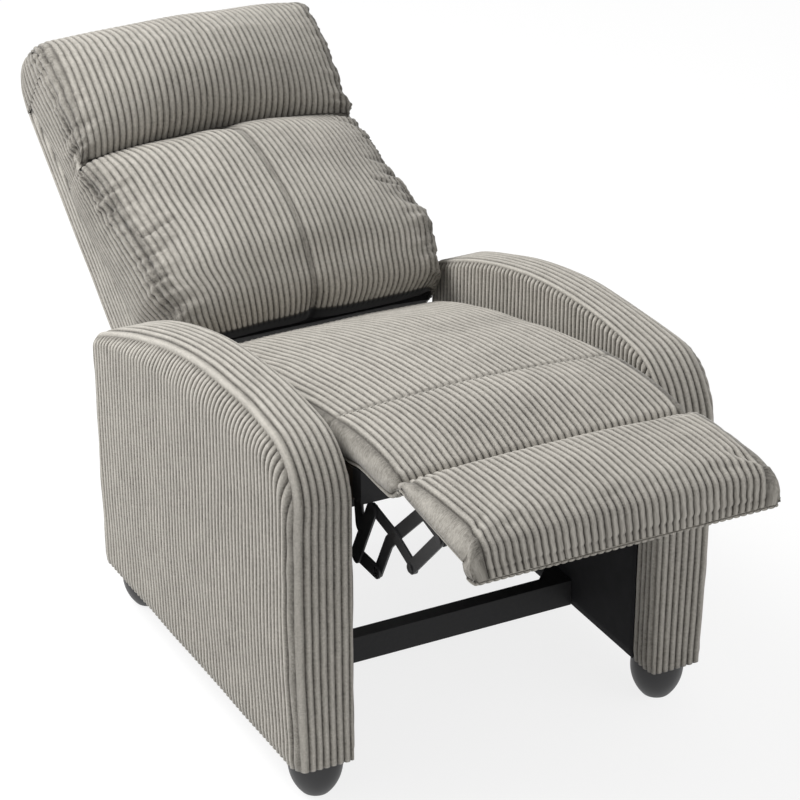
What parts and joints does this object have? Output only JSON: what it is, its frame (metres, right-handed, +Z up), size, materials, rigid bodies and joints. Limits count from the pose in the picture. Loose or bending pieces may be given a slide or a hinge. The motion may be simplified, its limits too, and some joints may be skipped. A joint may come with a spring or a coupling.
{
  "type": "recliner armchair",
  "caption": "Push-back recliner armchair in wide-wale corduroy, reclined with its footrest out on a scissor linkage.",
  "frame": {"origin": "on the floor under the middle of the whole reclined chair", "axes": "+Z up, the sitter faces -Y, +X is the sitter's left"},
  "size_m": [0.66, 1.514, 0.7782],
  "materials": {
    "corduroy": "wide-wale corduroy, taupe grey",
    "lining": "plain black lining cloth",
    "stained_timber": "matt black stain",
    "timber": "pine and plywood, dark brown stain",
    "foot_plastic": "moulded charcoal plastic",
    "black_steel": "black powder coat",
    "zinc": "dark zinc plate"
  },
  "bodies": {
    "base": {"left_arm_outer_panel": "corduroy", "right_arm_outer_panel": "corduroy", "left_arm_inner_panel": "corduroy", "right_arm_inner_panel": "corduroy", "left_arm_band": "corduroy", "right_arm_band": "corduroy", "left_arm_frame": "timber", "right_arm_frame": "timber", "arm_linings": "lining", "front_stretcher": "stained_timber", "rear_stretcher": "stained_timber", "corner_blocks": "stained_timber", "feet": "foot_plastic", "foot_studs": "zinc", "left_base_rail": "black_steel", "right_base_rail": "black_steel", "base_rail_bolts": "zinc", "swing_base_pins": "zinc"},
    "front_swing": {"front_swing_links": "black_steel", "torque_tube": "black_steel"},
    "rear_swing": {"rear_swing_links": "black_steel", "rear_swing_pins": "zinc"},
    "seat": {"left_seat_side_rail": "timber", "right_seat_side_rail": "timber", "seat_front_rail": "stained_timber", "seat_rear_rail": "timber", "seat_springs": "zinc", "seat_cushion": "corduroy", "left_seat_plate": "black_steel", "right_seat_plate": "black_steel", "seat_plate_bolts": "zinc", "back_pivot_pins": "zinc", "hanger_plates": "black_steel", "hanger_rivets": "zinc"},
    "back": {"left_back_stile": "timber", "right_back_stile": "timber", "back_rails": "timber", "back_webbing": "lining", "back_rear_panel": "corduroy", "left_back_side_panel": "corduroy", "right_back_side_panel": "corduroy", "back_bottom_lining": "lining", "lumbar_cushion": "corduroy", "head_cushion": "corduroy", "left_back_bracket": "black_steel", "right_back_bracket": "black_steel", "back_bracket_bolts": "zinc"},
    "footrest": {"footrest_board": "timber", "footrest_pad": "corduroy", "left_footrest_bracket": "black_steel", "right_footrest_bracket": "black_steel", "footrest_screws": "zinc"},
    "main_link": {"main_links": "black_steel", "main_link_rivets": "zinc"},
    "cross_link": {"cross_links": "black_steel", "cross_link_rivets": "zinc"},
    "rocker_link": {"rocker_links": "black_steel"},
    "tie_link": {"tie_links": "black_steel", "tie_link_rivets": "zinc"}
  },
  "joints": [
    {"name": "recline", "type": "hinge", "parent": "seat", "child": "back", "pos_m": [0, 0.08297, 0.32], "axis": [1, 0, 0], "range_deg": [0, 40]},
    {"name": "front_swing", "type": "hinge", "parent": "base", "child": "front_swing", "pos_m": [0, -0.25703, 0.31], "axis": [1, 0, 0], "range_deg": [-48.1, 0]},
    {"name": "rear_swing", "type": "hinge", "parent": "base", "child": "rear_swing", "pos_m": [0, -0.01703, 0.275], "axis": [1, 0, 0], "range_deg": [-48.1, 0]},
    {"name": "seat_level", "type": "hinge", "parent": "front_swing", "child": "seat", "pos_m": [0, -0.27095, 0.40903], "axis": [1, 0, 0], "range_deg": [0, 48.1]},
    {"name": "footrest_fold", "type": "hinge", "parent": "seat", "child": "footrest", "pos_m": [0, -0.52003, 0.5255], "axis": [1, 0, 0], "range_deg": [0, 88.1]},
    {"name": "main_link", "type": "hinge", "parent": "seat", "child": "main_link", "pos_m": [0, -0.44003, 0.4445], "axis": [1, 0, 0], "range_deg": [0, 87.4]},
    {"name": "rocker_link", "type": "hinge", "parent": "seat", "child": "rocker_link", "pos_m": [0, -0.39153, 0.3515], "axis": [1, 0, 0], "range_deg": [0, 94.51]},
    {"name": "cross_link", "type": "hinge", "parent": "main_link", "child": "cross_link", "pos_m": [0, -0.49853, 0.4345], "axis": [1, 0, 0], "range_deg": [-92.83, 0]},
    {"name": "tie_link", "type": "hinge", "parent": "main_link", "child": "tie_link", "pos_m": [0, -0.55503, 0.4135], "axis": [1, 0, 0], "range_deg": [-87.33, 0]}
  ],
  "couplings": [
    {"joint": "front_swing", "follows": "recline", "ratio": -1.2},
    {"joint": "rear_swing", "follows": "recline", "ratio": -1.2},
    {"joint": "seat_level", "follows": "recline", "ratio": 1.2},
    {"joint": "footrest_fold", "follows": "recline", "ratio": 2.2},
    {"joint": "main_link", "follows": "recline", "ratio": 2.1825},
    {"joint": "rocker_link", "follows": "recline", "ratio": 2.3602},
    {"joint": "cross_link", "follows": "recline", "ratio": -2.3184},
    {"joint": "tie_link", "follows": "recline", "ratio": -2.1807}
  ]
}
